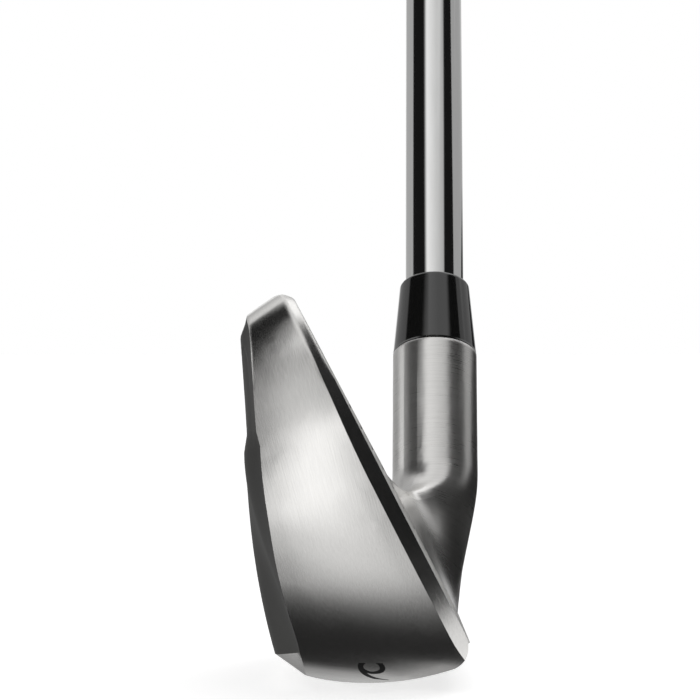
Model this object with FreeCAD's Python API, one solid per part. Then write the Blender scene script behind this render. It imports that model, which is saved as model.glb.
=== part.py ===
import FreeCAD, Part
import math
import os

V = FreeCAD.Vector

# A right-handed 6-iron in its address pose, in millimetres.
# +X is the way the face looks, -Y is the toe, +Y the golfer's side, +Z is up.
# The origin is where the sole touches the ground.

# ---- club ----
CLUB_LENGTH = 952.5          # ground to butt, along the shaft axis
LIE = 62.5                   # shaft axis above the ground, degrees
LOFT = 27.0                  # face back from vertical, degrees
AXIS_X = 11.7                # where the shaft axis meets the ground
AXIS_Y = 37.0
SHAFT_FORWARD = 0.5          # lean of the shaft towards the target, degrees

# ---- hosel ----
HOSEL_R = 6.75
HOSEL_TOP = 51.0             # along the axis from the ground
BORE_R = 4.80
BORE_BOTTOM = 23.5
HOSEL_CHAMFER = 0.35

# ---- blade ----
FACE_X0 = 18.0               # where the face plane meets the ground plane
SOLE_CAMBER_R = 450.0        # heel-to-toe curve of the sole
TOPLINE_Z = 54.6             # top line height at the toe peak
TOPLINE_Y = -34.0
TOPLINE_SLOPE = 23.5         # fall of the top line towards the heel, degrees
TOPLINE_THICK = 5.8
CROTCH_R = 9.0               # blend between the top line and the hosel
NECK_START = 25.0            # where the blade starts to turn into the hosel
NECK_LEAD = 11.0             # how much earlier its back and top line start to
FAN_STEPS = 9                # sections through the turn
HEEL_R = 17.0                # blend between the sole and the hosel
TOE_Y = -43.6                # furthest point of the toe
BEVEL_LOW = 1.25             # bevel between the face and the toe wall
BEVEL_HIGH = 0.55

# ---- face and cavity ----
PLATE_THICK = 2.4
PLATE_INSET = 3.4
PLATE_HEEL_Y = 24.8
CAVITY_INSET = 5.0
WALL_BACK = 1.8
GROOVE_COUNT = 11
GROOVE_PITCH = 3.5
GROOVE_WIDTH = 0.8
GROOVE_DEPTH = 0.42
GROOVE_FIRST_Z = 7.0
GROOVE_TOE_Y = -25.0
GROOVE_HEEL_Y = 23.0

# ---- shaft ----
SHAFT_TIP_R = 4.70
SHAFT_BUTT_R = 7.62
SHAFT_STEPS = 13
FIRST_STEP = 268.0           # along the axis from the ground
STEP_PITCH = 44.5
STEP_RUN = 1.6               # length over which one step grows
SHAFT_WALL = 0.5
SHAFT_END = CLUB_LENGTH - 4.0

# ---- ferrule ----
FERRULE_LENGTH = 12.5
FERRULE_LOW_R = 6.68
FERRULE_HIGH_R = 5.65
FERRULE_EDGE_R = 0.7

# ---- grip ----
GRIP_LENGTH = 267.0
GRIP_MOUTH_R = 8.6
GRIP_BUTT_R = 13.1
GRIP_CAP_R = 13.6
GRIP_CAP_LENGTH = 4.5
TAPE_THICK = 0.18
VENT_R = 1.5
BAND_START = 600.0
BAND_LENGTH = 62.0
BAND_THICK = 0.08

COS_LIE = math.cos(math.radians(LIE))
SIN_LIE = math.sin(math.radians(LIE))
SIN_LOFT = math.sin(math.radians(LOFT))
COS_LOFT = math.cos(math.radians(LOFT))
TAN_LOFT = math.tan(math.radians(LOFT))
FACE_NORMAL = V(COS_LOFT, 0, SIN_LOFT)

# directions along the shaft axis, across it towards the target, and across it towards the toe
_LEAN = math.radians(SHAFT_FORWARD)
ALONG = V(math.sin(_LEAN), math.cos(_LEAN) * COS_LIE, math.cos(_LEAN) * SIN_LIE)
ACROSS = V(math.cos(_LEAN), -math.sin(_LEAN) * COS_LIE, -math.sin(_LEAN) * SIN_LIE)
TOEWARD = V(0, -SIN_LIE, COS_LIE)


# ---------------------------------------------------------------- helpers
def mix(a, b, f):
    return a + (b - a) * f


def smooth(f):
    f = max(0.0, min(1.0, f))
    return f * f * (3.0 - 2.0 * f)


def on_shaft_axis(shape):
    """Move a shape built round the Z axis from the ground up on to the shaft axis."""
    out = shape.copy()
    turn = FreeCAD.Rotation(ACROSS, V(), ALONG, "ZXY")
    out.Placement = FreeCAD.Placement(V(AXIS_X, AXIS_Y, 0), turn)
    return out


def turned(profile):
    """A solid of revolution on the shaft axis from a closed (radius, height) outline."""
    points = [V(r, 0, h) for r, h in profile]
    face = Part.Face(Part.makePolygon(points + points[:1]))
    return on_shaft_axis(face.revolve(V(0, 0, 0), V(0, 0, 1), 360))


def rod(radius, low, high):
    return on_shaft_axis(Part.makeCylinder(radius, high - low, V(0, 0, low)))


def track(points, places):
    """A smooth curve through the points, one for each parameter in places."""
    curve = Part.BSplineCurve()
    curve.interpolate(Points=points, Parameters=places)
    return curve


def strip(tracks):
    """A surface whose control rows follow the given tracks, all with the same parameters."""
    degree = len(tracks) - 1
    rows = [t.getPoles() for t in tracks]
    surface = Part.BSplineSurface()
    surface.buildFromPolesMultsKnots(
        rows, [degree + 1, degree + 1], tracks[0].getMultiplicities(),
        [0.0, 1.0], tracks[0].getKnots(), False, False, degree, 3)
    return surface.toShape()


def closed_solid(faces):
    """One solid from faces that share their edges."""
    shell = Part.Shell(Part.makeCompound(faces).Faces)
    shell.sewShape()
    solid = Part.Solid(shell)
    if solid.Volume < 0:
        solid.reverse()
    return solid


def end_cap(edges):
    return Part.Face(Part.Wire(Part.__sortEdges__(edges)))


def biggest(shape):
    return max(shape.Solids, key=lambda s: s.Volume)


# ---------------------------------------------------------------- head sections
def sole_z(y):
    return y * y / (2.0 * SOLE_CAMBER_R)


def top_z(y):
    """The top line, which falls to the heel and levels off beyond the toe's peak."""
    past = y - TOPLINE_Y
    return TOPLINE_Z - math.tan(math.radians(TOPLINE_SLOPE)) * (past + math.hypot(past, 3.0)) / 2.0


def face_x(z):
    return FACE_X0 - z * TAN_LOFT


def straight(a, b):
    return [a, (mix(a[0], b[0], 1 / 3.0), mix(a[1], b[1], 1 / 3.0)),
            (mix(a[0], b[0], 2 / 3.0), mix(a[1], b[1], 2 / 3.0))]


def bent(a, da, b, db):
    """Bezier points from a to b, leaving along da and arriving against db."""
    return [a, (a[0] + da[0], a[1] + da[1]), (b[0] + db[0], b[1] + db[1])]


def fullness(y, z):
    """How far the back has swelled behind the toe wall: 0 at the wall, 1 well inside it."""
    wall = TOE_Y + 0.012 * (z - 28.0) ** 2 + 0.03 * max(0.0, 20.0 - z) ** 2
    return smooth((y - wall + 3.0) / 15.0)


def blade_profile(y, low, high):
    """Control points of the blade section at y, between heights low and high."""
    heel = smooth((y - 2.0) / 36.0)
    rise = (high - low) / (top_z(y) - sole_z(y))

    def lift(h):
        return low + h * rise

    top = high
    step_z = lift(mix(31.4, 22.0, smooth((y + 38.0) / 70.0)))
    full = fullness(y, step_z)
    shelf = mix(mix(13.6, 16.7, full), 11.2, smooth((y + 30.0) / 26.0))
    c0 = (face_x(top - 1.7), top - 1.7)
    c1 = (face_x(lift(7.0)), lift(7.0))
    c2 = (mix(12.6, 13.6, heel), low + 2.2)
    full = fullness(y, low + 3.0)
    c3 = (mix(mix(-6.4, -8.0, full), -2.4, heel), low + 1.0)
    c4 = (mix(mix(-8.1, -11.9, full), -6.4, heel), low + mix(4.4, 3.7, full))
    full = fullness(y, step_z)
    c5 = (mix(mix(-12.8, -15.7, full), -5.2, heel), step_z)
    inner = step_z + mix(1.8, 2.6, full)
    shelf_x = max(face_x(inner) - shelf, c5[0] + mix(-0.6, 0.4, full))
    c6 = (mix(shelf_x, c5[0] + 1.0, heel), inner)
    full = fullness(y, top - 4.0)
    back_top = face_x(top) - TOPLINE_THICK
    c7 = (back_top - mix(-1.0, 2.0, full) * (1.0 - heel), top - 5.2)
    c8 = (back_top + 0.3, top - 2.3)
    edges = []
    edges += straight(c0, c1)
    edges += bent(c1, (1.9 * SIN_LOFT, -1.9 * COS_LOFT), c2, (1.9, 1.05))
    edges += bent(c2, (-6.6, -2.25), c3, (6.0, -1.8))
    edges += straight(c3, c4)
    edges += bent(c4, (mix(-1.5, -2.0, full), 6.8), c5, (0.0, -8.5))
    edges += straight(c5, c6)
    edges += straight(c6, c7)
    edges += straight(c7, c8)
    edges += bent(c8, (0.9, 1.75), c0, (-0.75, 1.5))
    return edges


RIM_ANGLES = [58.0, -38.0, -64.0, -118.0, -140.0, -184.0, -192.0, -222.0, -244.0, -302.0]


def oval_profile(centre, low, high):
    """The same control points laid round an oval of the hosel's width."""
    half = (high - low) / 2.0
    middle = (high + low) / 2.0
    edges = []
    for start, end in zip(RIM_ANGLES, RIM_ANGLES[1:]):
        a, b = math.radians(start), math.radians(end)
        reach = 4.0 / 3.0 * math.tan((b - a) / 4.0)
        for angle, sign in ((a, 0.0), (a, 1.0), (b, -1.0)):
            across = math.cos(angle) - sign * reach * math.sin(angle)
            up = math.sin(angle) + sign * reach * math.cos(angle)
            edges.append((centre + HOSEL_R * across, middle + half * up))
    return edges


def crotch_centre():
    """Centre of the arc that joins the top line to the toe side of the hosel."""
    slope = math.radians(TOPLINE_SLOPE)
    # the top line and the hosel's side, each moved out by the arc's radius
    line_y = TOPLINE_Y + CROTCH_R * math.sin(slope)
    line_z = TOPLINE_Z + CROTCH_R * math.cos(slope)
    out = HOSEL_R + CROTCH_R
    side_y = AXIS_Y - out * SIN_LIE
    side_z = out * COS_LIE
    fall = math.tan(slope)
    s = (line_z - fall * (side_y - line_y) - side_z) / (SIN_LIE + fall * COS_LIE)
    return side_y + s * COS_LIE, side_z + s * SIN_LIE


PIVOT_Y, PIVOT_Z = crotch_centre()
NECK_X = AXIS_X + ((PIVOT_Y - AXIS_Y) * COS_LIE + PIVOT_Z * SIN_LIE) * math.sin(_LEAN)


def heel_distance(angle):
    """From the crotch centre to the heel's outline, angle radians round from straight down."""
    dy, dz = math.sin(angle), -math.cos(angle)
    floor = sole_z(PIVOT_Y)
    to_floor = (floor - PIVOT_Z) / dz
    # the golfer's side of the hosel
    side_y = AXIS_Y + HOSEL_R * SIN_LIE
    side_z = -HOSEL_R * COS_LIE
    across = (side_y - PIVOT_Y) * SIN_LIE - (side_z - PIVOT_Z) * COS_LIE
    to_side = across / (dy * SIN_LIE - dz * COS_LIE) if dy * SIN_LIE > dz * COS_LIE else 1e9
    # the arc of HEEL_R that touches both
    centre_z = floor + HEEL_R
    s = (centre_z - side_z - HEEL_R * COS_LIE) / SIN_LIE
    centre_y = side_y + s * COS_LIE - HEEL_R * SIN_LIE
    oy, oz = centre_y - PIVOT_Y, centre_z - PIVOT_Z
    along = oy * dy + oz * dz
    off = oy * oy + oz * oz - along * along
    if off < HEEL_R * HEEL_R:
        to_arc = along + math.sqrt(HEEL_R * HEEL_R - off)
        y = PIVOT_Y + dy * to_arc
        z = PIVOT_Z + dz * to_arc
        below = y > centre_y
        beyond = (y - centre_y) * COS_LIE + (z - centre_z) * SIN_LIE < 0
        if below and beyond:
            return to_arc
    return min(to_floor, to_side)


NECK_LENGTH = (PIVOT_Y - NECK_START) + 19.0 * math.radians(LIE)


def blended(progress, y, low, high):
    """The blade's section turned part of the way into the hosel's, the back leading the face."""
    late = smooth(progress / NECK_LENGTH)
    early = smooth((progress + NECK_LEAD) / (NECK_LENGTH + NECK_LEAD))
    blade = blade_profile(y, low, high)
    oval = oval_profile(NECK_X, low, high)
    ring = []
    for i, (a, b) in enumerate(zip(blade, oval)):
        f = early if 14 < i < 26 else late
        ring.append((mix(a[0], b[0], f), mix(a[1], b[1], f)))
    return ring


def head_stations():
    """Rings of control points from the toe to the hosel top, with their places along the head."""
    rings, places = [], []
    for y in (-54.0, -50.0, -46.5, -43.5, -40.5, -37.5, -34.0, -30.0, -25.0, -19.0,
              -12.0, -4.0, 4.0, 11.0, 17.0, 22.0, 26.0, 30.0, PIVOT_Y):
        ring = blended(y - NECK_START, y, sole_z(y), top_z(y) if y < PIVOT_Y - 6.0 else arc_top(y))
        rings.append([V(x, y, z) for x, z in ring])
        places.append(y)
    for step in range(1, FAN_STEPS + 1):
        angle = math.radians(LIE) * step / FAN_STEPS
        far = heel_distance(angle)
        height = far - CROTCH_R
        progress = PIVOT_Y - NECK_START + 19.0 * angle
        dy, dz = math.sin(angle), -math.cos(angle)
        low = sole_z(PIVOT_Y)
        ring = blended(progress, PIVOT_Y, low, low + height)
        rings.append([V(x, PIVOT_Y + dy * (far - (z - low)), PIVOT_Z + dz * (far - (z - low)))
                      for x, z in ring])
        places.append(PIVOT_Y + 19.0 * angle)
    start = (PIVOT_Y - AXIS_Y) * COS_LIE + PIVOT_Z * SIN_LIE
    for part in (0.12, 0.3, 0.6, 1.0):
        s = mix(start, HOSEL_TOP, part)
        centre = V(AXIS_X, AXIS_Y, 0) + ALONG * s
        rings.append([centre + ACROSS * x + TOEWARD * z for x, z in oval_profile(0.0, -HOSEL_R, HOSEL_R)])
        places.append(places[FAN_STEPS + 18] + s - start)
    return rings, places


def arc_top(y):
    """Height of the top line where it runs into the arc at the crotch."""
    reach = CROTCH_R * math.sin(math.radians(TOPLINE_SLOPE))
    if y < PIVOT_Y - reach:
        return top_z(y)
    return PIVOT_Z - math.sqrt(CROTCH_R ** 2 - (y - PIVOT_Y) ** 2)


def lofted_head():
    rings, places = head_stations()
    tracks = [track([ring[i] for ring in rings], places) for i in range(len(rings[0]))]
    tracks.append(tracks[0])
    faces = [strip(tracks[i:i + 4]) for i in range(0, len(tracks) - 1, 3)]
    for end in (0, -1):
        edges = []
        ring = rings[end] + rings[end][:1]
        for i in range(0, len(ring) - 1, 3):
            arc = Part.BezierCurve()
            arc.setPoles(ring[i:i + 4])
            edges.append(arc.toShape())
        faces.append(end_cap(edges))
    return closed_solid(faces)


# ---------------------------------------------------------------- toe wall
# control rows of the toe wall: depth, more depth as a part of its thickness, and bulge there
TOE_CROWN = [(-12.0, 0.0, 0.0), (0.0, 0.1, 1.3), (0.0, 1.0, 1.9), (40.0, 0.0, -8.0)]


def toe_outline(inset, count=10):
    """Points round the toe, on the face plane, with their outward directions and insets."""
    slope = math.tan(math.radians(TOPLINE_SLOPE))
    knots = [
        ((-4.0, top_z(-4.0) + 3.6), (-7.0, 1.4)),
        ((-30.0, top_z(-30.0) + 0.5), (-4.6, 4.6 * slope)),
        ((TOE_Y + 2.1, 45.0), (-2.2, -7.6)),
        ((TOE_Y, 30.0), (0.0, -7.5)),
        ((TOE_Y + 6.4, 11.4), (3.9, -5.2)),
        ((-23.5, 0.75), (5.9, -1.7)),
        ((-8.0, -2.6), (6.0, -0.6)),
    ]
    points = []
    for (a, da), (b, db) in zip(knots, knots[1:]):
        for i in range(count):
            f = i / float(count)
            g = 1.0 - f
            w = (g ** 3, 3 * g * g * f, 3 * g * f * f, f ** 3)
            y = w[0] * a[0] + w[1] * (a[0] + da[0]) + w[2] * (b[0] - db[0]) + w[3] * b[0]
            z = w[0] * a[1] + w[1] * (a[1] + da[1]) + w[2] * (b[1] - db[1]) + w[3] * b[1]
            points.append((y, z))
    points.append(knots[-1][0])
    out = []
    for i, (y, z) in enumerate(points):
        before, after = points[max(i - 1, 0)], points[min(i + 1, len(points) - 1)]
        dy, dz = after[0] - before[0], after[1] - before[1]
        size = math.hypot(dy, dz)
        out.append((y, z, dz / size, -dy / size, inset(z)))
    return out


def draw_way(z):
    """The toe wall runs square to the face high up and level low down."""
    level = 1.0 - smooth((z - 16.0) / 26.0)
    way = FACE_NORMAL * (1.0 - level) + V(1, 0, 0) * level
    return way.normalize()


def toe_thickness(z):
    """Depth of the toe wall from the face to the back at height z."""
    return 23.0 - 0.29 * z - 0.2 * (z - 40.0 + math.hypot(z - 40.0, 4.0))


def toe_row(depth_at, offset, inset):
    """Points round the toe, depth_at(z) behind the face, moved outward by offset."""
    row = []
    for y, z, ny, nz, less in toe_outline(inset):
        out = offset - less
        depth = depth_at(z)
        base = V(face_x(z), y, z) + V(0, ny, 0) * out + V(-SIN_LOFT, 0, COS_LOFT) * (nz * out)
        way = draw_way(z)
        row.append(base - way * (depth / way.dot(FACE_NORMAL)))
    return row


def patch(a, b):
    """A surface of straight lines between two short control rows."""
    degree = len(a) - 1
    surface = Part.BSplineSurface()
    surface.buildFromPolesMultsKnots(
        [[p, q] for p, q in zip(a, b)], [degree + 1, degree + 1], [2, 2],
        [0.0, 1.0], [0.0, 1.0], False, False, degree, 1)
    return surface.toShape()


def toe_tool(rows, crowned):
    """A solid wide open to the heel that ends at the toe in a wall through the rows."""
    places = [float(i) for i in range(len(rows[0]))]
    tracks = [track(row, places) for row in rows]
    up = V(-SIN_LOFT, 0, COS_LOFT)
    corners = []
    for row in rows:
        high = row[0] + up * 40.0
        low = row[-1] - up * 50.0
        corners.append([row[0], high, V(high.x, 150, high.z), V(low.x, 150, low.z), low, row[-1]])
    faces = []
    layers = [(0, len(rows))] if crowned else [(i, i + 2) for i in range(len(rows) - 1)]
    for first, last in layers:
        faces.append(strip(tracks[first:last]))
        for k in range(5):
            a = [c[k] for c in corners[first:last]]
            b = [c[k + 1] for c in corners[first:last]]
            faces.append(patch(a, b))
    for end in (0, -1):
        edges = [tracks[end].toShape()]
        for k in range(5):
            edges.append(Part.makeLine(corners[end][k], corners[end][k + 1]))
        faces.append(end_cap(edges))
    return closed_solid(faces)


def beyond(tool):
    """Everything on the toe side that lies outside a toe tool."""
    room = Part.makeBox(240, 115, 260, V(-120, -120, -120))
    return room.cut(tool)


def plain_toe(inset):
    """The toe wall, moved in by inset: nearly flat behind the face, rounding over to the back."""
    rows = []
    for depth, part, out in TOE_CROWN:
        def depth_at(z, depth=depth, part=part):
            return depth + part * toe_thickness(z)
        rows.append(toe_row(depth_at, out - inset, no_inset))
    return toe_tool(rows, True)


def no_inset(z):
    return 0.0


def bevel_inset(z):
    return mix(BEVEL_LOW, BEVEL_HIGH, smooth((z - 30.0) / 18.0)) * smooth((z + 1.0) / 9.0)


def bevel_tool():
    rows = [toe_row(lambda z: -3.0, -3.0, bevel_inset), toe_row(lambda z: 10.0, 10.0, bevel_inset),
            toe_row(lambda z: 70.0, 10.0, bevel_inset)]
    return toe_tool(rows, False)


# ---------------------------------------------------------------- inside of the head
def behind_face(z, depth):
    return face_x(z) - depth / COS_LOFT


def inner_corners(y):
    """The cavity's outline at y, wall thickness inside the blade section."""
    low, high = sole_z(y), top_z(y)
    c = blade_profile(y, low, high)[::3]
    top = c[0][1] - 3.0
    return [
        (behind_face(top, PLATE_THICK), top),
        (behind_face(c[1][1] + 1.0, PLATE_THICK), c[1][1] + 1.0),
        (9.0, low + 3.0),
        (c[3][0] + 2.6, low + 3.0),
        (c[4][0] + 3.2, c[4][1] + 1.4),
        (c[5][0] + WALL_BACK, c[5][1] - 2.0),
        (c[6][0] + WALL_BACK, c[6][1] - 1.4),
        (c[7][0] + WALL_BACK, c[7][1]),
    ]


def ruled_loft(outline_at, stations):
    """A solid whose section at each station y is the polygon that outline_at gives."""
    rings = [[V(x, y, z) for x, z in outline_at(y)] for y in stations]
    tracks = [track([ring[i] for ring in rings], stations) for i in range(len(rings[0]))]
    tracks.append(tracks[0])
    faces = [strip(tracks[i:i + 2]) for i in range(len(tracks) - 1)]
    for ring in (rings[0], rings[-1]):
        faces.append(Part.Face(Part.makePolygon(ring + ring[:1])))
    return closed_solid(faces)


def back_outline(y):
    """Everything behind the cavity's rear side, between its lower and upper corners."""
    inner = inner_corners(y)
    rear = inner[4:]
    return rear + [(-45.0, rear[-1][1]), (-45.0, rear[0][1])]


CAVITY_STATIONS = [-50.0, -44.0, -38.0, -32.0, -26.0, -19.0, -12.0, -4.0, 4.0, 10.0, 15.0, 19.0]


def face_prism(front, depth):
    """The welded face plate's block, from in front of the face plane to depth behind it."""
    inner = []
    for y, z, ny, nz, less in toe_outline(no_inset):
        inner.append((y - ny * PLATE_INSET, z - nz * PLATE_INSET))
    inner = [(y, z) for y, z in inner if y < -27.5 and z > 6.6]
    low_z = 6.2

    def at(y, z):
        return V(face_x(z), y, z) + FACE_NORMAL * front

    heel_top = top_z(PLATE_HEEL_Y) - 5.0
    points = [at(y, z) for y, z in inner]
    curve = Part.BSplineCurve()
    curve.interpolate(points)
    last = points[-1]
    corners = [last, at(-24.0, low_z), at(PLATE_HEEL_Y, low_z), at(PLATE_HEEL_Y, heel_top), points[0]]
    edges = [curve.toShape()]
    edges += [Part.makeLine(a, b) for a, b in zip(corners, corners[1:])]
    block = end_cap(edges).extrude(FACE_NORMAL * (-(front + depth)))
    return block


def groove(z):
    """A scoring line's cutter: a trough along Y with sloping sides."""
    reach = (TOPLINE_Z - 5.6 - z) / math.tan(math.radians(TOPLINE_SLOPE))
    heel = min(GROOVE_HEEL_Y, TOPLINE_Y + reach)
    up = V(-SIN_LOFT, 0, COS_LOFT)
    base = V(face_x(z), GROOVE_TOE_Y, z)
    points = []
    for across, depth in ((-0.62, -0.2), (-0.22, GROOVE_DEPTH), (0.22, GROOVE_DEPTH), (0.62, -0.2)):
        points.append(base + up * (across * GROOVE_WIDTH) - FACE_NORMAL * depth)
    section = Part.Face(Part.makePolygon(points + points[:1]))
    return section.extrude(V(0, heel - GROOVE_TOE_Y, 0))


def sole_number(low, high):
    """The club's number, a 6, as a block between two heights under the sole."""
    cx, cy = 1.4, -29.4
    ring = Part.makeCylinder(1.85, high - low, V(cx, cy, low))
    ring = ring.cut(Part.makeCylinder(1.1, high - low, V(cx, cy, low)))
    tail = Part.makeCylinder(4.2, high - low, V(cx + 2.35, cy, low))
    tail = tail.cut(Part.makeCylinder(3.45, high - low, V(cx + 2.35, cy, low)))
    keep = Part.makeBox(4.2, 3.7, high - low, V(cx - 1.85, cy, low))
    return ring.fuse(tail.common(keep)).removeSplitter()


def head_parts():
    outer = lofted_head().cut(beyond(plain_toe(0.0)))
    outer = biggest(outer.cut(beyond(bevel_tool())))
    ring = [(HOSEL_R - HOSEL_CHAMFER, HOSEL_TOP), (HOSEL_R + 1.0, HOSEL_TOP - 1.0 - HOSEL_CHAMFER),
            (HOSEL_R + 1.0, HOSEL_TOP + 1.0), (HOSEL_R - HOSEL_CHAMFER, HOSEL_TOP + 1.0)]
    outer = outer.cut(turned(ring))
    cavity = ruled_loft(inner_corners, CAVITY_STATIONS).cut(beyond(plain_toe(CAVITY_INSET)))
    back_zone = ruled_loft(back_outline, CAVITY_STATIONS).cut(beyond(plain_toe(PLATE_INSET)))
    back = biggest(outer.common(back_zone))
    body = outer.cut(back_zone).cut(cavity).cut(face_prism(2.0, PLATE_THICK))
    body = body.cut(rod(BORE_R, BORE_BOTTOM, HOSEL_TOP + 2.0))
    plate = face_prism(0.0, PLATE_THICK)
    for i in range(GROOVE_COUNT):
        plate = plate.cut(groove(GROOVE_FIRST_Z + i * GROOVE_PITCH * COS_LOFT))
    number = sole_number(-5.0, 4.0)
    raised = body.copy()
    raised.translate(V(0, 0, 0.35))
    fill = number.common(body.cut(raised))
    body = body.cut(number.cut(raised))
    cavity = cavity.cut(back)
    weight = cavity.common(Part.makeBox(60, 20.0, 10.5, V(-30, -38.0, 0)))
    core = cavity.cut(weight)
    return {
        "head_body": biggest(body),
        "face_plate": plate,
        "back_shell": back,
        "toe_weight": biggest(weight),
        "damping_core": biggest(core),
        "sole_number_fill": fill,
    }


# ---------------------------------------------------------------- shaft, ferrule and grip
def shaft_profile(extra, low, high):
    """Outline of the stepped shaft grown by extra, as (radius, height) from low to high."""
    grow = (SHAFT_BUTT_R - SHAFT_TIP_R) / SHAFT_STEPS
    points = [(SHAFT_TIP_R + extra, low)]
    for i in range(SHAFT_STEPS):
        foot = FIRST_STEP + i * STEP_PITCH
        radius = SHAFT_TIP_R + i * grow
        if foot < low:
            points = [(radius + grow + extra, low)]
        elif foot + STEP_RUN < high:
            points.append((radius + extra, foot))
            points.append((radius + grow + extra, foot + STEP_RUN))
    points.append((points[-1][0], high))
    return points


def tube(outer, inner):
    """A turned solid between two outlines that run from low to high."""
    return turned(outer + inner[::-1])


def ferrule():
    low = HOSEL_TOP
    high = HOSEL_TOP + FERRULE_LENGTH
    points = [(SHAFT_TIP_R, low), (FERRULE_LOW_R - 0.15, low), (FERRULE_LOW_R, low + 0.15)]
    for i in range(0, 7):
        angle = math.pi / 2.0 * i / 6.0
        across = FERRULE_HIGH_R - FERRULE_EDGE_R * (1.0 - math.cos(angle))
        points.append((across, high - FERRULE_EDGE_R * (1.0 - math.sin(angle))))
    points.append((SHAFT_TIP_R, high))
    return turned(points)


def shaft_parts():
    low = BORE_BOTTOM + 0.6
    outer = shaft_profile(0.0, low, SHAFT_END)
    inner = shaft_profile(-SHAFT_WALL, low, SHAFT_END)
    glue = rod(BORE_R, BORE_BOTTOM, HOSEL_TOP).cut(rod(SHAFT_TIP_R, low, HOSEL_TOP + 1.0))
    plug_high = low + 14.0
    plug = rod(SHAFT_TIP_R - SHAFT_WALL, low, plug_high)
    band_r = shaft_profile(0.0, BAND_START, BAND_START + BAND_LENGTH)
    band_out = shaft_profile(BAND_THICK, BAND_START, BAND_START + BAND_LENGTH)
    return {
        "hosel_epoxy": glue,
        "shaft_tube": tube(outer, inner),
        "tip_weight": plug,
        "shaft_band": tube(band_out, band_r),
        "ferrule": ferrule(),
    }


def grip_parts():
    low = CLUB_LENGTH - GRIP_LENGTH
    high = CLUB_LENGTH - GRIP_CAP_LENGTH
    tape_low = low + 2.0
    tape = tube(shaft_profile(TAPE_THICK, tape_low, SHAFT_END - 0.5),
                shaft_profile(0.0, tape_low, SHAFT_END - 0.5))
    seat = shaft_profile(TAPE_THICK, low, high)
    skin = [(GRIP_MOUTH_R - 0.6, low), (GRIP_MOUTH_R, low + 0.6)]
    for i in range(1, 13):
        f = i / 12.0
        radius = mix(GRIP_MOUTH_R, GRIP_BUTT_R, 0.55 * f + 0.45 * f * f)
        skin.append((radius, mix(low + 0.6, high, f)))
    sleeve = tube(skin, seat)
    top = CLUB_LENGTH
    lip = 1.6
    cap = [(0.0, SHAFT_END), (seat[-1][0], SHAFT_END), (seat[-1][0], high), (GRIP_BUTT_R, high)]
    cap.append((GRIP_CAP_R, high + 0.5))
    for i in range(0, 9):
        angle = math.pi / 2.0 * i / 8.0
        cap.append((GRIP_CAP_R - lip * (1.0 - math.cos(angle)), top - lip * (1.0 - math.sin(angle))))
    cap.append((0.0, top))
    cap = turned(cap).cut(rod(VENT_R, SHAFT_END - 1.0, top + 1.0))
    return {"grip_tape": tape, "grip_sleeve": sleeve, "grip_cap": cap}


if __name__ == "__main__":
    os.makedirs("parts", exist_ok=True)
    parts = head_parts()
    parts.update(shaft_parts())
    parts.update(grip_parts())
    for name, shape in parts.items():
        shape.exportStep("parts/%s.step" % name)
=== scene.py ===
import math

import bmesh
import bpy
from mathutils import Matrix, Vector


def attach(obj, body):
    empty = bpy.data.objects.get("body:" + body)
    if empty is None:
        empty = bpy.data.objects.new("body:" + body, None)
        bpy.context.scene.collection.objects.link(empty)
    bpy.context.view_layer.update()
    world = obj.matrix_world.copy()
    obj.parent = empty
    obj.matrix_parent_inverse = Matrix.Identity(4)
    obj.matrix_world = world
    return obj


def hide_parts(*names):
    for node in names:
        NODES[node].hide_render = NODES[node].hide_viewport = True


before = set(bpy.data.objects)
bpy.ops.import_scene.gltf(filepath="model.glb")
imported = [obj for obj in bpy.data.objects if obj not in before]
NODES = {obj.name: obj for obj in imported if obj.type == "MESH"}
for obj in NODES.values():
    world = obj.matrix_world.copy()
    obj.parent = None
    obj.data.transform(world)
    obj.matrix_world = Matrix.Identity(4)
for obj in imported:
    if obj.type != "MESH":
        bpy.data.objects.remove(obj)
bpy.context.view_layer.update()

SCENE = bpy.context.scene

# ---------------------------------------------------------------- the club's own directions
LIE = math.radians(62.5)             # shaft above the ground
LEAN = math.radians(0.5)             # shaft towards the target
FOOT = Vector((0.0117, 0.037, 0.0))  # where the shaft's axis meets the ground
ALONG = Vector((math.sin(LEAN), math.cos(LEAN) * math.cos(LIE), math.cos(LEAN) * math.sin(LIE)))
ACROSS = Vector((math.cos(LEAN), -math.sin(LEAN) * math.cos(LIE), -math.sin(LEAN) * math.sin(LIE)))
TOEWARD = Vector((0.0, -math.sin(LIE), math.cos(LIE)))

# ---------------------------------------------------------------- finishes
STEEL_DARK = (0.60, 0.592, 0.578)
STEEL_LIGHT = (0.84, 0.832, 0.815)
BACK_DARK = (0.034, 0.034, 0.032)
BACK_LIGHT = (0.058, 0.057, 0.054)
GRIT = 5200.0                        # grains of blasting per metre
BRUSH_SLANT = math.radians(16.0)     # toe brushing, from upright
BRUSH_FINE = 9000.0                  # brush lines per metre
FINE_BUMP = 0.00002                  # height of brushing and blasting, in metres
MOULD_BUMP = 0.0001                  # height of the rubber's grain, in metres
BACK_EDGE = 0.0106                   # the dark back ends this far from the shaft's axis
TOPLINE_FALL = 0.51                  # how fast the topline drops towards the heel

# ---------------------------------------------------------------- shaft band, along the shaft
BAND_WIDE_RINGS = ((0.6035, 0.6060), (0.6560, 0.6585))
BAND_THIN_RINGS = ((0.6078, 0.6084), (0.6536, 0.6542))

# ---------------------------------------------------------------- grip, in metres
GRIP_LOW = 0.6855                    # along the shaft, from the ground
GRIP_HIGH = 0.9480
GRIP_MOUTH_R = 0.0086
GRIP_BUTT_R = 0.0131
GRIP_BORE_R = 0.0072
GRIP_CAP_R = 0.0095                  # where the rubber closes in under the cap
GRIP_AROUND = 160
GRIP_RINGS = 560

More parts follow.
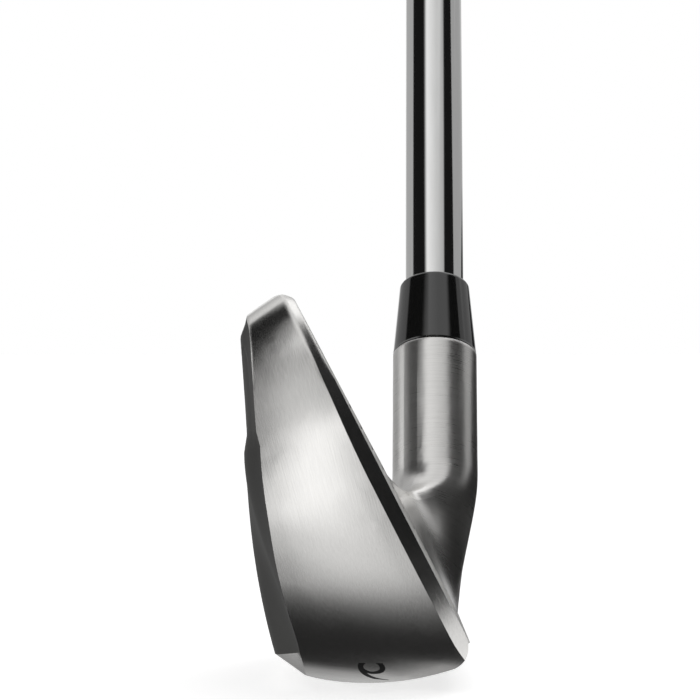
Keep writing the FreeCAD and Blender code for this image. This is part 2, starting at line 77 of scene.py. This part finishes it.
# the grip's moulded pattern, in millimetres along the grip, with depths in metres
PLAIN_MOUTH = 7.0
PLAIN_BUTT = 9.0
REPEAT = 41.0                        # one belt of ribs and one field of diamonds
BELT = 11.0
RIB_PITCH = 1.83
FIELD_FADE = 1.2
DIAMOND_PITCH = 6.0
DIAMONDS_AROUND = 8.0
END_RING_DEPTH = 0.00025
RIB_DEPTH = 0.00024
LINE_DEPTH = 0.00034
DOT_DEPTH = 0.00022

# ---------------------------------------------------------------- camera and stage
CAMERA_PLACE = (-0.0015, -0.483, 0.046)
CAMERA_LENS = 173.5714               # millimetres, for a 36 mm sensor
CARD_PLACE = Vector((0.24, 0.24, 0.40))
CARD_AIM = Vector((0.01, 0.06, 0.40))
CARD_WIDTH = 0.34
CARD_HEIGHT = 0.60
CARD_WATTS = 0.28
FLOOR_HALF = 30.0


# ---------------------------------------------------------------- node helpers
class Graph:
    """A small wrapper that adds shader nodes and links them in one call."""

    def __init__(self, tree):
        self.tree = tree

    def add(self, kind, inputs=None, **settings):
        node = self.tree.nodes.new(kind)
        for key, value in settings.items():
            setattr(node, key, value)
        for key, value in (inputs or {}).items():
            self.plug(node.inputs[key], value)
        return node

    def plug(self, socket, value):
        if isinstance(value, bpy.types.NodeSocket):
            self.tree.links.new(value, socket)
        elif isinstance(value, bpy.types.Node):
            self.tree.links.new(value.outputs[0], socket)
        else:
            socket.default_value = value

    def math(self, op, a, b=0.0, c=0.0):
        return self.add("ShaderNodeMath", {0: a, 1: b, 2: c}, operation=op).outputs[0]

    def times(self, first, *others):
        """The product of all the values given."""
        result = first
        for other in others:
            result = self.math("MULTIPLY", result, other)
        return result

    def most(self, first, *others):
        """The largest of all the values given."""
        result = first
        for other in others:
            result = self.math("MAXIMUM", result, other)
        return result

    def ramp(self, value, low, high, a=0.0, b=1.0):
        """Smoothly a below low and b above high."""
        node = self.add("ShaderNodeMapRange", {"Value": value, "From Min": low, "From Max": high,
                                               "To Min": a, "To Max": b}, interpolation_type="SMOOTHSTEP")
        return node.outputs["Result"]

    def spread(self, value, a, b):
        """A value from 0 to 1 spread evenly from a to b."""
        return self.add("ShaderNodeMapRange", {"Value": value, "To Min": a, "To Max": b}).outputs["Result"]

    def window(self, value, low, high, soft):
        """1 between low and high, 0 outside, with edges soft wide."""
        rise = self.ramp(value, low - soft, low + soft)
        fall = self.ramp(value, high - soft, high + soft, 1.0, 0.0)
        return self.times(rise, fall)

    def mix(self, factor, a, b):
        """A colour from a to b; each is a socket or three numbers."""
        node = self.add("ShaderNodeMix", data_type="RGBA")
        self.plug(node.inputs[0], factor)
        self.plug(node.inputs[6], a if isinstance(a, bpy.types.NodeSocket) else (*a, 1.0))
        self.plug(node.inputs[7], b if isinstance(b, bpy.types.NodeSocket) else (*b, 1.0))
        return node.outputs[2]

    def blend(self, factor, a, b):
        """A plain number from a to b."""
        return self.add("ShaderNodeMix", {0: factor, 2: a, 3: b}, data_type="FLOAT").outputs[0]

    def noise(self, vector, scale, detail=2.0, rough=0.5):
        node = self.add("ShaderNodeTexNoise", {"Vector": vector, "Scale": scale, "Detail": detail,
                                               "Roughness": rough})
        return node.outputs["Fac"]

    def bump(self, height, strength, distance):
        return self.add("ShaderNodeBump", {"Strength": strength, "Distance": distance, "Height": height})

    def place(self):
        return self.add("ShaderNodeTexCoord").outputs["Object"]

    def parts_of(self, vector):
        return self.add("ShaderNodeSeparateXYZ", {0: vector}).outputs

    def stretched(self, vector, slant, scale):
        """The vector turned about Y and then stretched, so that streaks can run at a slant."""
        node = self.add("ShaderNodeMapping", {"Vector": vector}, vector_type="POINT")
        node.inputs["Rotation"].default_value = (0.0, slant, 0.0)
        return self.add("ShaderNodeVectorMath", {0: node, 1: scale}, operation="MULTIPLY").outputs[0]

    def shaft_place(self):
        """Distance along the shaft, and the two coordinates across it, in metres."""
        from_foot = self.add("ShaderNodeVectorMath", {0: self.place(), 1: FOOT}, operation="SUBTRACT")
        found = []
        for way in (ALONG, ACROSS, TOEWARD):
            dot = self.add("ShaderNodeVectorMath", {0: from_foot, 1: way}, operation="DOT_PRODUCT")
            found.append(dot.outputs["Value"])
        return found

    def rings(self, along, across, toeward, fine, coarse, detail_rough):
        """Noise drawn out round the shaft's axis."""
        vector = self.add("ShaderNodeCombineXYZ", {0: self.times(along, fine), 1: self.times(across, coarse),
                                                   2: self.times(toeward, coarse)})
        return self.noise(vector.outputs[0], 1.0, 3.0, detail_rough)


def material(name, metallic=0.0, coat=0.0, ior=1.5):
    mat = bpy.data.materials.new(name)
    mat.use_nodes = True
    shader = mat.node_tree.nodes["Principled BSDF"]
    shader.inputs["Metallic"].default_value = metallic
    shader.inputs["Coat Weight"].default_value = coat
    shader.inputs["IOR"].default_value = ior
    return mat, Graph(mat.node_tree), shader


def paint(obj, mat):
    obj.data.materials.clear()
    obj.data.materials.append(mat)


# ---------------------------------------------------------------- materials
def dark_back_mask(g, place, normal, toeward):
    """1 on the faces of the head's one-piece body that carry the dark finish of the back."""
    x, y, z = g.parts_of(place)
    nx, ny, nz = g.parts_of(normal)
    # faces that look backwards, but for the toe wall, the trailing edge and the topline
    back = g.times(g.ramp(nx, -0.34, -0.40), g.ramp(ny, -0.72, -0.66))
    back = g.times(back, g.times(g.ramp(nz, -0.53, -0.48), g.ramp(nz, 0.50, 0.40)))
    # the shelf's heel end looks up and is dark too; the topline above it stays bright
    drop = g.math("MULTIPLY_ADD", y, TOPLINE_FALL, z)
    shelf = g.times(g.ramp(drop, 0.0375, 0.0368), g.ramp(y, 0.006, 0.010))
    shelf = g.times(shelf, g.times(g.ramp(nx, 0.20, 0.10), g.ramp(nz, -0.20, -0.10)))
    # the dark finish stops short of the hosel, along a line that runs with the shaft
    return g.times(g.most(back, shelf), g.ramp(toeward, BACK_EDGE - 0.0002, BACK_EDGE + 0.0002))


def brushed_steel():
    """Satin steel head: long slanted brushing on the toe, rings round the hosel, dark blasted back."""
    mat, g, shader = material("satin_steel", metallic=1.0)
    place = g.place()
    along, across, toeward = g.shaft_place()
    x, y, z = g.parts_of(place)
    normal = g.add("ShaderNodeNewGeometry").outputs["Normal"]
    back = dark_back_mask(g, place, normal, toeward)

    neck = g.ramp(y, 0.026, 0.040)
    toe_lines = g.noise(g.stretched(place, BRUSH_SLANT, (BRUSH_FINE, 2500.0, 260.0)), 1.0, 3.0, 0.6)
    ring_lines = g.rings(along, across, toeward, BRUSH_FINE, 220.0, 0.6)
    lines = g.blend(neck, toe_lines, ring_lines)
    grit = g.noise(place, GRIT)

    steel = g.mix(lines, STEEL_DARK, STEEL_LIGHT)
    g.plug(shader.inputs["Base Color"], g.mix(back, steel, g.mix(grit, BACK_DARK, BACK_LIGHT)))
    rough = g.math("ADD", g.spread(lines, 0.13, 0.22), g.times(g.noise(place, 120.0, 3.0), 0.05))
    rough = g.math("MULTIPLY_ADD", neck, 0.09, rough)
    g.plug(shader.inputs["Roughness"], g.blend(back, rough, 0.55))

    # the toe peak and the topline are rubbed round by the polishing wheel
    rubbed = g.add("ShaderNodeBevel", {"Radius": 0.0008}, samples=8)
    peak = g.add("ShaderNodeMix", {0: g.ramp(z, 0.040, 0.047)}, data_type="VECTOR")
    g.plug(peak.inputs[4], normal)
    g.plug(peak.inputs[5], rubbed)
    bump = g.bump(g.blend(back, lines, grit), 0.14, FINE_BUMP)
    g.plug(bump.inputs["Normal"], peak.outputs[1])
    g.plug(shader.inputs["Normal"], bump)
    return mat


def dark_back():
    mat, g, shader = material("dark_blasted_steel", metallic=1.0)
    place = g.place()
    grit = g.noise(place, GRIT)
    g.plug(shader.inputs["Base Color"], g.mix(grit, BACK_DARK, BACK_LIGHT))
    g.plug(shader.inputs["Roughness"], g.spread(g.noise(place, 160.0, 3.0), 0.5, 0.6))
    g.plug(shader.inputs["Normal"], g.bump(grit, 0.25, FINE_BUMP))
    return mat


def milled_face():
    mat, g, shader = material("blasted_face", metallic=1.0)
    place = g.place()
    mill = g.noise(g.stretched(place, 0.0, (3000.0, 60.0, 3000.0)), 1.0)
    both = g.times(g.math("ADD", g.noise(place, 4200.0), mill), 0.5)
    g.plug(shader.inputs["Base Color"], g.mix(both, (0.42, 0.415, 0.40), (0.62, 0.61, 0.59)))
    g.plug(shader.inputs["Roughness"], g.spread(both, 0.36, 0.50))
    g.plug(shader.inputs["Normal"], g.bump(both, 0.2, FINE_BUMP))
    return mat


def chrome():
    mat, g, shader = material("polished_chrome", metallic=1.0)
    along, across, toeward = g.shaft_place()
    smear = g.rings(along, across, toeward, 160.0, 900.0, 0.5)
    g.plug(shader.inputs["Base Color"], g.mix(smear, (0.66, 0.66, 0.655), (0.74, 0.74, 0.735)))
    g.plug(shader.inputs["Roughness"], g.spread(smear, 0.05, 0.10))
    return mat


def gloss_black(name, base, rough, ior):
    mat, g, shader = material(name, ior=ior)
    haze = g.noise(g.place(), 700.0, 3.0)
    g.plug(shader.inputs["Base Color"], g.mix(haze, (base, base, base), (base * 1.5, base * 1.5, base * 1.45)))
    g.plug(shader.inputs["Roughness"], g.spread(haze, rough, rough + 0.05))
    return mat


def rubber():
    mat, g, shader = material("grip_rubber")
    fine = g.noise(g.place(), 2600.0, 3.0)
    g.plug(shader.inputs["Base Color"], g.mix(fine, (0.020, 0.020, 0.0205), (0.050, 0.050, 0.051)))
    g.plug(shader.inputs["Roughness"], g.spread(fine, 0.40, 0.55))
    g.plug(shader.inputs["Normal"], g.bump(fine, 0.35, MOULD_BUMP))
    return mat


def plain(name, dark, light, rough, metallic=0.0):
    mat, g, shader = material(name, metallic=metallic)
    cloud = g.noise(g.place(), 900.0, 3.0)
    g.plug(shader.inputs["Base Color"], g.mix(cloud, dark, light))
    g.plug(shader.inputs["Roughness"], g.spread(cloud, rough, rough + 0.12))
    return mat


def band_film():
    """The shaft band: a dark printed film with plain rings near its ends."""
    mat, g, shader = material("band_film", coat=0.3)
    along = g.shaft_place()[0]
    wide = g.most(*[g.window(along, low, high, 0.0002) for low, high in BAND_WIDE_RINGS])
    thin = g.most(*[g.window(along, low, high, 0.0001) for low, high in BAND_THIN_RINGS])
    cloud = g.noise(g.place(), 900.0, 3.0)
    film = g.mix(cloud, (0.018, 0.018, 0.019), (0.032, 0.032, 0.034))
    ink = g.mix(cloud, (0.42, 0.42, 0.43), (0.52, 0.52, 0.53))
    g.plug(shader.inputs["Base Color"], g.mix(g.most(wide, thin), film, ink))
    g.plug(shader.inputs["Roughness"], g.spread(cloud, 0.28, 0.38))
    return mat


def cap_rubber():
    """The grip cap: matte rubber with fine turned rings round the vent hole."""
    mat, g, shader = material("cap_rubber")
    along, across, toeward = g.shaft_place()
    reach = g.math("SQRT", g.math("ADD", g.times(across, across), g.times(toeward, toeward)))
    ring = g.times(g.math("SINE", g.times(reach, 4400.0)), g.window(reach, 0.0035, 0.0105, 0.0004))
    fine = g.noise(g.place(), 2600.0, 3.0)
    g.plug(shader.inputs["Base Color"], g.mix(fine, (0.013, 0.013, 0.0135), (0.03, 0.03, 0.031)))
    g.plug(shader.inputs["Roughness"], g.spread(fine, 0.5, 0.7))
    g.plug(shader.inputs["Normal"], g.bump(g.math("MULTIPLY_ADD", fine, 0.3, ring), 0.5, MOULD_BUMP))
    return mat


def finish_materials():
    paint(NODES["head_body"], brushed_steel())
    paint(NODES["face_plate"], milled_face())
    paint(NODES["back_shell"], dark_back())
    paint(NODES["sole_number_fill"], gloss_black("number_enamel", 0.004, 0.45, 1.15))
    paint(NODES["ferrule"], gloss_black("ferrule_gloss", 0.005, 0.05, 1.8))
    paint(NODES["shaft_tube"], chrome())
    paint(NODES["grip_cap"], cap_rubber())
    paint(NODES["shaft_band"], band_film())
    paint(NODES["toe_weight"], plain("tungsten", (0.25, 0.25, 0.26), (0.36, 0.36, 0.37), 0.4, 1.0))
    paint(NODES["damping_core"], plain("foam", (0.12, 0.12, 0.14), (0.22, 0.22, 0.25), 0.7))
    paint(NODES["hosel_epoxy"], plain("epoxy", (0.4, 0.33, 0.18), (0.5, 0.42, 0.26), 0.3))
    paint(NODES["tip_weight"], plain("tip_brass", (0.55, 0.40, 0.18), (0.66, 0.50, 0.26), 0.3, 1.0))
    paint(NODES["grip_tape"], plain("paper_tape", (0.62, 0.56, 0.42), (0.74, 0.68, 0.54), 0.7))


# ---------------------------------------------------------------- grip
def pulse(value, width):
    """1 at whole numbers, falling to 0 at width to either side."""
    off = abs(value - round(value)) / width
    return max(0.0, 1.0 - off * off) if off < 1.0 else 0.0


def grip_radius(s):
    f = (s - GRIP_LOW) / (GRIP_HIGH - GRIP_LOW)
    return GRIP_MOUTH_R + (GRIP_BUTT_R - GRIP_MOUTH_R) * (0.55 * f + 0.45 * f * f)


def grip_relief(s, angle):
    """Depth of the moulded pattern: diamond cuts between belts of fine ribs, plain at both ends."""
    run = (s - GRIP_LOW) * 1000.0
    left = (GRIP_HIGH - s) * 1000.0
    if run < PLAIN_MOUTH or left < PLAIN_BUTT:
        mouth_rings = pulse(run / 3.0, 0.18) if 1.5 < run < 6.5 else 0.0
        butt_rings = pulse(left / 4.0, 0.14) if 2.0 < left < 8.5 else 0.0
        return END_RING_DEPTH * max(mouth_rings, butt_rings)
    place = (run - PLAIN_MOUTH) % REPEAT
    if place < BELT:
        return RIB_DEPTH * pulse(place / RIB_PITCH, 0.36)
    fade = max(0.0, min(1.0, (place - BELT) / FIELD_FADE, (REPEAT - place) / FIELD_FADE))
    turn = DIAMONDS_AROUND * angle / math.pi
    rising = run / DIAMOND_PITCH + turn / 2.0
    falling = run / DIAMOND_PITCH - turn / 2.0
    lines = max(pulse(rising, 0.15), pulse(falling, 0.15))
    dots = pulse(rising + 0.5, 0.22) * pulse(falling + 0.5, 0.22)
    return fade * (LINE_DEPTH * lines + DOT_DEPTH * dots)


def grip_rows():
    """(distance along the shaft, radii round it) for each ring of the grip, mouth first."""
    ends = [(GRIP_LOW + 0.004, GRIP_BORE_R), (GRIP_LOW, GRIP_BORE_R), (GRIP_LOW, GRIP_MOUTH_R - 0.0006),
            (GRIP_LOW + 0.00018, GRIP_MOUTH_R - 0.00018)]
    rows = [(s, [radius] * GRIP_AROUND) for s, radius in ends]
    first = GRIP_LOW + 0.0006
    for i in range(GRIP_RINGS + 1):
        s = first + (GRIP_HIGH - GRIP_LOW - 0.0006) * i / GRIP_RINGS
        angles = [2.0 * math.pi * j / GRIP_AROUND for j in range(GRIP_AROUND)]
        rows.append((s, [grip_radius(s) - grip_relief(s, angle) for angle in angles]))
    rows.append((GRIP_HIGH, [GRIP_CAP_R] * GRIP_AROUND))
    return rows


def grip():
    """The rubber grip with its moulded pattern cut into the skin."""
    mesh = bpy.data.meshes.new("grip_rubber_skin")
    bm = bmesh.new()
    rings = []
    for s, radii in grip_rows():
        ring = []
        for j, radius in enumerate(radii):
            angle = 2.0 * math.pi * j / GRIP_AROUND
            out = ACROSS * math.cos(angle) + TOEWARD * math.sin(angle)
            ring.append(bm.verts.new(FOOT + ALONG * s + out * radius))
        rings.append(ring)
    for low, high in zip(rings, rings[1:]):
        for j in range(GRIP_AROUND):
            k = (j + 1) % GRIP_AROUND
            bm.faces.new((low[j], high[j], high[k], low[k]))
    bmesh.ops.recalc_face_normals(bm, faces=bm.faces)
    for face in bm.faces:
        face.smooth = True
    bm.to_mesh(mesh)
    bm.free()
    obj = bpy.data.objects.new("grip_rubber_skin", mesh)
    SCENE.collection.objects.link(obj)
    paint(obj, rubber())
    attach(obj, "root")
    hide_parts("grip_sleeve")


# ---------------------------------------------------------------- studio
def degrees(*angles):
    return [math.radians(a) for a in angles]


class Studio:
    """The studio's soft boxes, each a brightness by direction.

    pitch is 0 level towards the toe, 90 overhead, 180 level behind and -90 straight down.
    """

    def __init__(self, g):
        self.g = g
        self.x, self.y, self.z = g.parts_of(g.add("ShaderNodeTexCoord").outputs["Generated"])
        self.side = g.math("ABSOLUTE", self.x)
        self.pitch = g.math("ARCTAN2", self.z, g.times(self.y, -1.0))

    def toe_box(self):
        """Low in front of the toe, brightest along a line that leans away from the target higher up."""
        g, pitch = self.g, self.pitch
        middle = g.math("ADD", g.ramp(pitch, *degrees(-50, 0), -0.15, -0.22),
                        g.ramp(pitch, *degrees(0, 25), 0.0, -0.18))
        apart = g.math("SUBTRACT", self.x, middle)
        apart = g.most(g.times(apart, 0.88), g.times(apart, -1.15))
        return g.times(g.ramp(apart, 0.04, 0.30, 1.0, 0.02),
                       g.ramp(pitch, *degrees(-87, -54)),
                       g.ramp(pitch, *degrees(-55, -5), 0.92, 1.42),
                       g.ramp(pitch, *degrees(8, 30), 1.0, 0.34),
                       g.ramp(pitch, *degrees(62, 48)))

    def tall_box(self):
        """Above the toe box, brighter on the side away from the target."""
        g, x = self.g, self.x
        box = g.most(g.ramp(self.pitch, *degrees(74, 64)), g.ramp(self.side, 0.42, 0.22))
        return g.times(box, g.ramp(self.pitch, *degrees(24, 40)),
                       g.times(g.ramp(x, 0.58, 0.50), g.ramp(x, -0.60, -0.40)),
                       g.math("MULTIPLY_ADD", x, -0.62, 0.84))

    def overhead_box(self):
        """Overhead, kept off the side that the back of the toe mirrors."""
        g = self.g
        open_side = g.most(g.ramp(self.x, -0.36, -0.20), g.ramp(self.y, 0.10, 0.30))
        return g.times(g.ramp(self.z, 0.77, 0.84), open_side, 0.75)

    def back_wall(self):
        """A white wall behind the club, narrower low down and dimmer level with the head."""
        g, x, z = self.g, self.x, self.z
        reach = g.math("MULTIPLY_ADD", g.most(z, 0.0), 1.2, 0.26)
        across = g.most(x, g.math("MULTIPLY_ADD", x, -1.0, -0.30))
        wall = g.times(g.ramp(self.y, 0.28, 0.36), g.ramp(g.math("SUBTRACT", across, reach), 0.10, -0.10))
        # below the horizon it starts later, but for the leading edge, which looks past the face
        late = g.math("MULTIPLY_ADD", g.ramp(x, -0.07, 0.01), math.radians(-35), self.pitch)
        low_end = g.most(g.ramp(z, -0.10, -0.04), g.ramp(late, *degrees(-124, -150)))
        dim = g.times(g.ramp(z, -0.12, -0.20), g.ramp(x, -0.05, -0.14))
        return g.times(wall, g.ramp(z, 0.97, 0.90), low_end, g.ramp(z, 0.45, 0.80, 0.48, 0.90),
                       g.math("MULTIPLY_ADD", dim, -0.5, 1.0))

    def side_boxes(self):
        """A box to either side of the camera and a brighter one on the back's side."""
        g, z = self.g, self.z
        wings = g.times(g.ramp(self.side, 0.60, 0.72), g.ramp(self.y, -0.34, -0.46),
                        g.times(g.ramp(z, 0.46, 0.34), g.ramp(z, -0.30, -0.20)))
        back_side = g.times(g.ramp(self.x, -0.78, -0.90), g.window(z, -0.25, 0.35, 0.08))
        return g.most(g.times(wings, 0.75), g.times(back_side, 1.3))

    def white_floor(self):
        """The white floor, dimmer along a strip on the back's side, except in the club's own shadow."""
        g, x = self.g, self.x
        edge = g.most(x, g.times(x, -1.4))
        shaded = g.times(g.window(self.pitch, *degrees(-130, -20), 0.12), g.ramp(edge, 0.80, 0.55))
        outward = g.math("ABSOLUTE", g.math("ADD", x, 0.24))
        return g.times(g.ramp(self.z, -0.22, -0.32), g.ramp(outward, 0.10, 0.40, 0.30, 1.10),
                       g.math("SUBTRACT", 1.0, shaded))

    def glow(self):
        """The brightest box in each direction, and a little light from everywhere."""
        g = self.g
        boxes = g.most(self.toe_box(), self.tall_box(), self.overhead_box(), self.back_wall(),
                       self.side_boxes(), self.white_floor())
        return g.math("ADD", boxes, g.ramp(self.z, 0.1, -0.3, 0.010, 0.022))


def studio_world():
    """A white studio to the camera, with soft boxes and black flags for what the metal mirrors."""
    world = bpy.data.worlds.new("studio")
    SCENE.world = world
    world.use_nodes = True
    tree = world.node_tree
    tree.nodes.clear()
    g = Graph(tree)
    seen = g.add("ShaderNodeLightPath").outputs["Is Camera Ray"]
    strength = g.blend(seen, Studio(g).glow(), 1.0)
    light = g.add("ShaderNodeBackground", {"Color": (1.0, 1.0, 1.0, 1.0), "Strength": strength})
    out = g.add("ShaderNodeOutputWorld")
    tree.links.new(light.outputs[0], out.inputs["Surface"])


def card():
    """A soft light behind the club on the face's side; the shaft's far edge mirrors it."""
    data = bpy.data.lights.new("card", "AREA")
    data.shape = "RECTANGLE"
    data.size = CARD_WIDTH
    data.size_y = CARD_HEIGHT
    data.energy = CARD_WATTS
    lamp = bpy.data.objects.new("card", data)
    lamp.location = CARD_PLACE
    lamp.rotation_euler = (CARD_AIM - CARD_PLACE).to_track_quat("-Z", "Y").to_euler()
    lamp.visible_camera = False
    SCENE.collection.objects.link(lamp)


def floor():
    """A near-white floor that glows a little, as a lit white sweep does."""
    mesh = bpy.data.meshes.new("floor")
    bm = bmesh.new()
    bmesh.ops.create_grid(bm, x_segments=8, y_segments=8, size=FLOOR_HALF)
    bm.to_mesh(mesh)
    bm.free()
    obj = bpy.data.objects.new("floor", mesh)
    SCENE.collection.objects.link(obj)
    mat, _, shader = material("pale_floor")
    shader.inputs["Base Color"].default_value = (0.86, 0.86, 0.86, 1.0)
    shader.inputs["Roughness"].default_value = 0.9
    shader.inputs["Specular IOR Level"].default_value = 0.0
    shader.inputs["Emission Color"].default_value = (1.0, 1.0, 1.0, 1.0)
    shader.inputs["Emission Strength"].default_value = 0.62
    paint(obj, mat)
    obj.visible_glossy = False


def camera():
    """Level, in front of the toe, looking heelwards."""
    data = bpy.data.cameras.new("camera")
    data.sensor_width = 36.0
    data.lens = CAMERA_LENS
    data.clip_start = 0.01
    data.clip_end = 100.0
    cam = bpy.data.objects.new("camera", data)
    cam.location = CAMERA_PLACE
    cam.rotation_euler = (math.radians(90.0), 0.0, 0.0)
    SCENE.collection.objects.link(cam)
    SCENE.camera = cam


finish_materials()
grip()
studio_world()
card()
floor()
camera()
SCENE.view_settings.view_transform = "Standard"
